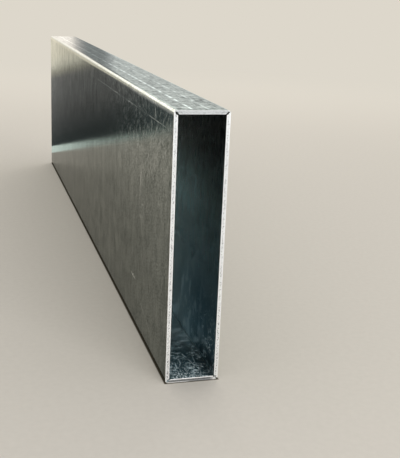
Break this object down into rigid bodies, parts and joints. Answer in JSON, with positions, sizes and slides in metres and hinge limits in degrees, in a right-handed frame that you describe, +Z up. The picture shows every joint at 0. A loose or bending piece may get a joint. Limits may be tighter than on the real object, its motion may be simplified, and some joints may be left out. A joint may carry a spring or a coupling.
{
  "type": "rectangular stainless steel tube",
  "caption": "Thin-walled rectangular tube in mill-finish stainless steel, folded from sheet with a welded corner seam, open at both ends.",
  "frame": {"origin": "centre of the footprint, on the surface that the tube stands on", "axes": "+Y along the tube, away from the end that the picture shows; +X across its narrow width; +Z up its wide side"},
  "size_m": [0.02, 0.4, 0.1],
  "materials": {
    "stainless_steel": "cold-rolled mill finish, half glossy, with sheared bright ends"
  },
  "bodies": {
    "root": {"rectangular_tube": "stainless_steel"}
  },
  "joints": []
}
